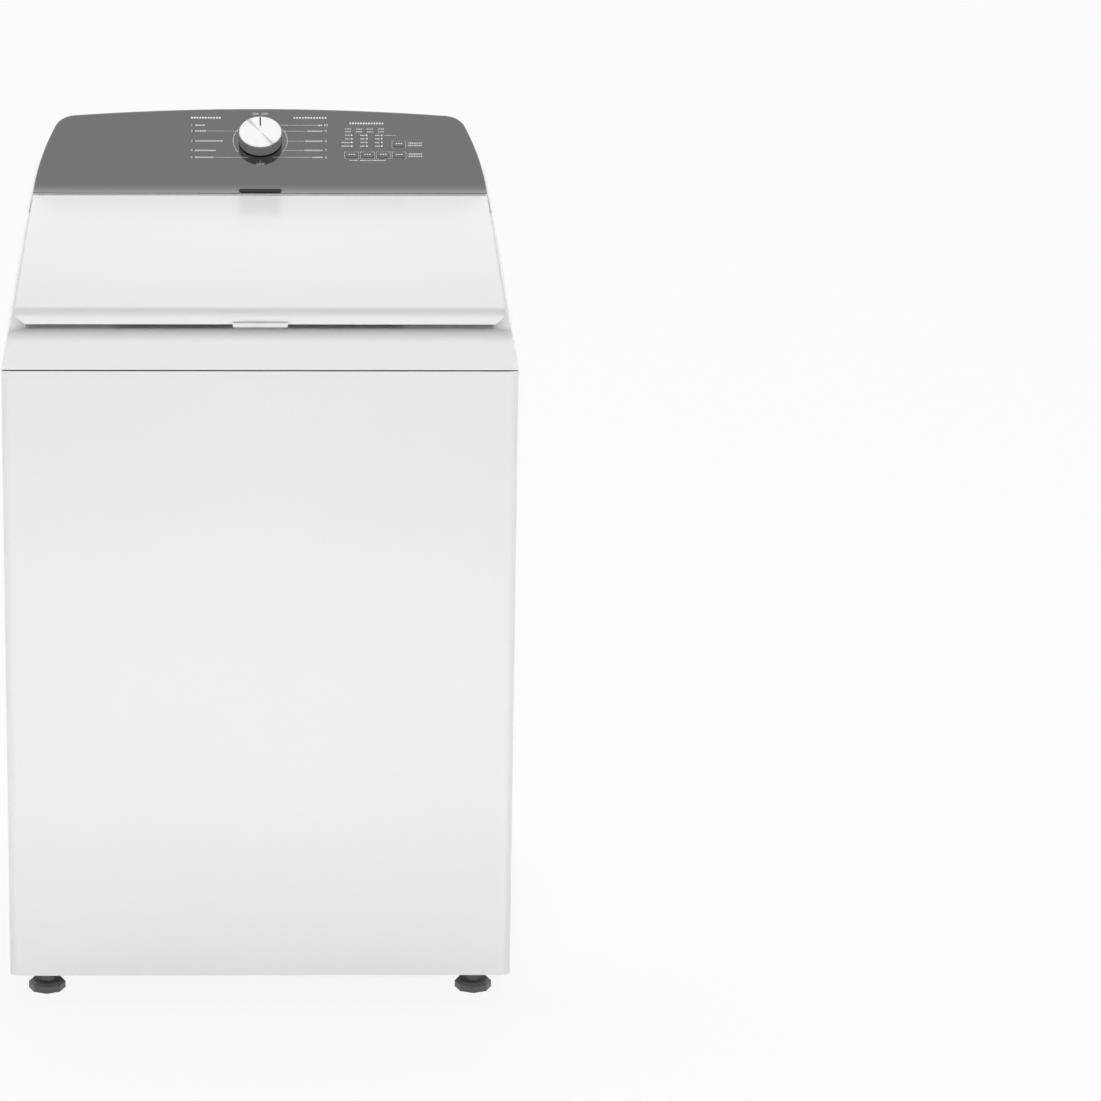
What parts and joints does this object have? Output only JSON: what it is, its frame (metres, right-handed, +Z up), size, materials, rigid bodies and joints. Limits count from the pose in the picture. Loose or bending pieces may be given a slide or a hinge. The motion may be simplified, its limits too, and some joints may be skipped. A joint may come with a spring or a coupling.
{
  "type": "top load washing machine",
  "caption": "White top load washing machine with a hinged lid, grey sloped console with knob and buttons, and a hung tub with spinning basket and agitator.",
  "frame": {"origin": "on the floor under the middle of the machine", "axes": "+X to the right seen from the front, +Y to the rear, +Z up"},
  "size_m": [0.69, 0.7, 1.1124],
  "materials": {
    "cabinet_enamel": "white baked enamel, gloss",
    "white_moulding": "white gloss moulding",
    "liner_white": "white satin moulding",
    "console_grey": "dark grey satin moulding",
    "black_gloss": "black gloss moulding",
    "knob_silver": "silver painted moulding",
    "knob_face": "spun metal",
    "button_grey": "grey satin moulding",
    "light_lens": "clear lens",
    "board_green": "circuit board",
    "steel": "bright steel",
    "zinc": "zinc plated sheet",
    "aluminium": "die cast",
    "motor_black": "black enamel",
    "tub_plastic": "pale grey moulding",
    "agitator_grey": "grey moulding",
    "rubber": "black rubber",
    "foot_grey": "dark grey moulding",
    "valve_white": "white nylon"
  },
  "bodies": {
    "cabinet": {"cabinet_shell": "cabinet_enamel", "rear_panel": "zinc", "base_frame": "zinc", "foot_lock_nuts": "steel", "top_panel": "white_moulding", "fill_spout": "white_moulding", "lid_bumpers": "rubber", "lid_lock": "black_gloss", "console_fascia": "console_grey", "console_rear_cover": "console_grey", "console_insert": "black_gloss", "knob_plinth": "black_gloss", "encoder": "motor_black", "status_lights": "light_lens", "control_board": "board_green", "suspension_hangers": "zinc", "suspension_rods": "steel", "suspension_springs": "steel", "inlet_valve": "valve_white", "drain_outlet": "black_gloss", "cord_gland": "rubber"},
    "lid": {"lid": "white_moulding", "lid_liner": "liner_white", "hinge_pins": "steel", "lid_strike": "liner_white"},
    "knob": {"knob_grip": "knob_silver", "knob_cap": "knob_face", "knob_shaft": "steel"},
    "tub": {"tub": "tub_plastic", "tub_ring": "tub_plastic", "tub_bearing": "steel", "tub_seal": "rubber", "drive_plate": "zinc", "gearcase": "aluminium", "drive_belt": "rubber", "motor": "motor_black", "capacitor": "aluminium", "drain_pump": "black_gloss"},
    "basket": {"basket": "steel", "balance_ring": "tub_plastic", "basket_hub": "aluminium", "spin_tube": "steel"},
    "agitator": {"agitator": "agitator_grey", "agitator_base": "agitator_grey", "agitator_vanes": "agitator_grey", "agitator_cap": "agitator_grey", "drive_shaft": "steel"},
    "drive_pulley": {"drive_pulley": "aluminium"},
    "motor_pulley": {"motor_pulley": "aluminium"},
    "button_1": {"button_1": "button_grey"},
    "button_2": {"button_2": "button_grey"},
    "button_3": {"button_3": "button_grey"},
    "button_4": {"button_4": "button_grey"},
    "button_5": {"button_5": "button_grey"},
    "foot_front_left": {"foot_front_left": "foot_grey"},
    "foot_front_right": {"foot_front_right": "foot_grey"},
    "foot_rear_left": {"foot_rear_left": "foot_grey"},
    "foot_rear_right": {"foot_rear_right": "foot_grey"}
  },
  "joints": [
    {"name": "lid_hinge", "type": "hinge", "parent": "cabinet", "child": "lid", "pos_m": [0, 0.1225, 1.01578], "axis": [-1, 0, 0], "range_deg": [0, 100]},
    {"name": "knob_turn", "type": "hinge", "parent": "cabinet", "child": "knob", "pos_m": [0, 0.22172, 1.07898], "axis": [0, -0.5329, 0.8462], "continuous": true},
    {"name": "tub_bounce", "type": "slide", "parent": "cabinet", "child": "tub", "axis": [0, 0, 1], "range_m": [-0.02, 0.008], "stiffness_N_per_m": 16000, "springref_m": 0.02354, "deforming": ["suspension_springs"]},
    {"name": "basket_spin", "type": "hinge", "parent": "tub", "child": "basket", "pos_m": [0, -0.03, 0.3], "axis": [0, 0, 1], "continuous": true},
    {"name": "agitator_turn", "type": "hinge", "parent": "tub", "child": "agitator", "pos_m": [0, -0.03, 0.3], "axis": [0, 0, 1], "continuous": true},
    {"name": "drive_pulley_turn", "type": "hinge", "parent": "tub", "child": "drive_pulley", "pos_m": [0, -0.03, 0.3], "axis": [0, 0, 1], "continuous": true},
    {"name": "motor_pulley_turn", "type": "hinge", "parent": "tub", "child": "motor_pulley", "pos_m": [0.164, -0.03, 0.15], "axis": [0, 0, 1], "continuous": true},
    {"name": "button_1_press", "type": "slide", "parent": "cabinet", "child": "button_1", "axis": [0, 0.5329, -0.8462], "range_m": [0, 0.0012], "stiffness_N_per_m": 500, "springref_m": -0.001},
    {"name": "button_2_press", "type": "slide", "parent": "cabinet", "child": "button_2", "axis": [0, 0.5329, -0.8462], "range_m": [0, 0.0012], "stiffness_N_per_m": 500, "springref_m": -0.001},
    {"name": "button_3_press", "type": "slide", "parent": "cabinet", "child": "button_3", "axis": [0, 0.5329, -0.8462], "range_m": [0, 0.0012], "stiffness_N_per_m": 500, "springref_m": -0.001},
    {"name": "button_4_press", "type": "slide", "parent": "cabinet", "child": "button_4", "axis": [0, 0.5329, -0.8462], "range_m": [0, 0.0012], "stiffness_N_per_m": 500, "springref_m": -0.001},
    {"name": "button_5_press", "type": "slide", "parent": "cabinet", "child": "button_5", "axis": [0, 0.5329, -0.8462], "range_m": [0, 0.0012], "stiffness_N_per_m": 500, "springref_m": -0.001},
    {"name": "foot_front_left_turn", "type": "hinge", "parent": "cabinet", "child": "foot_front_left", "pos_m": [-0.2957, -0.3007, 0.02], "axis": [0, 0, 1], "continuous": true},
    {"name": "foot_front_right_turn", "type": "hinge", "parent": "cabinet", "child": "foot_front_right", "pos_m": [0.2957, -0.3007, 0.02], "axis": [0, 0, 1], "continuous": true},
    {"name": "foot_rear_left_turn", "type": "hinge", "parent": "cabinet", "child": "foot_rear_left", "pos_m": [-0.2957, 0.2807, 0.02], "axis": [0, 0, 1], "continuous": true},
    {"name": "foot_rear_right_turn", "type": "hinge", "parent": "cabinet", "child": "foot_rear_right", "pos_m": [0.2957, 0.2807, 0.02], "axis": [0, 0, 1], "continuous": true}
  ],
  "couplings": [
    {"joint": "motor_pulley_turn", "follows": "drive_pulley_turn", "ratio": 3.9}
  ]
}
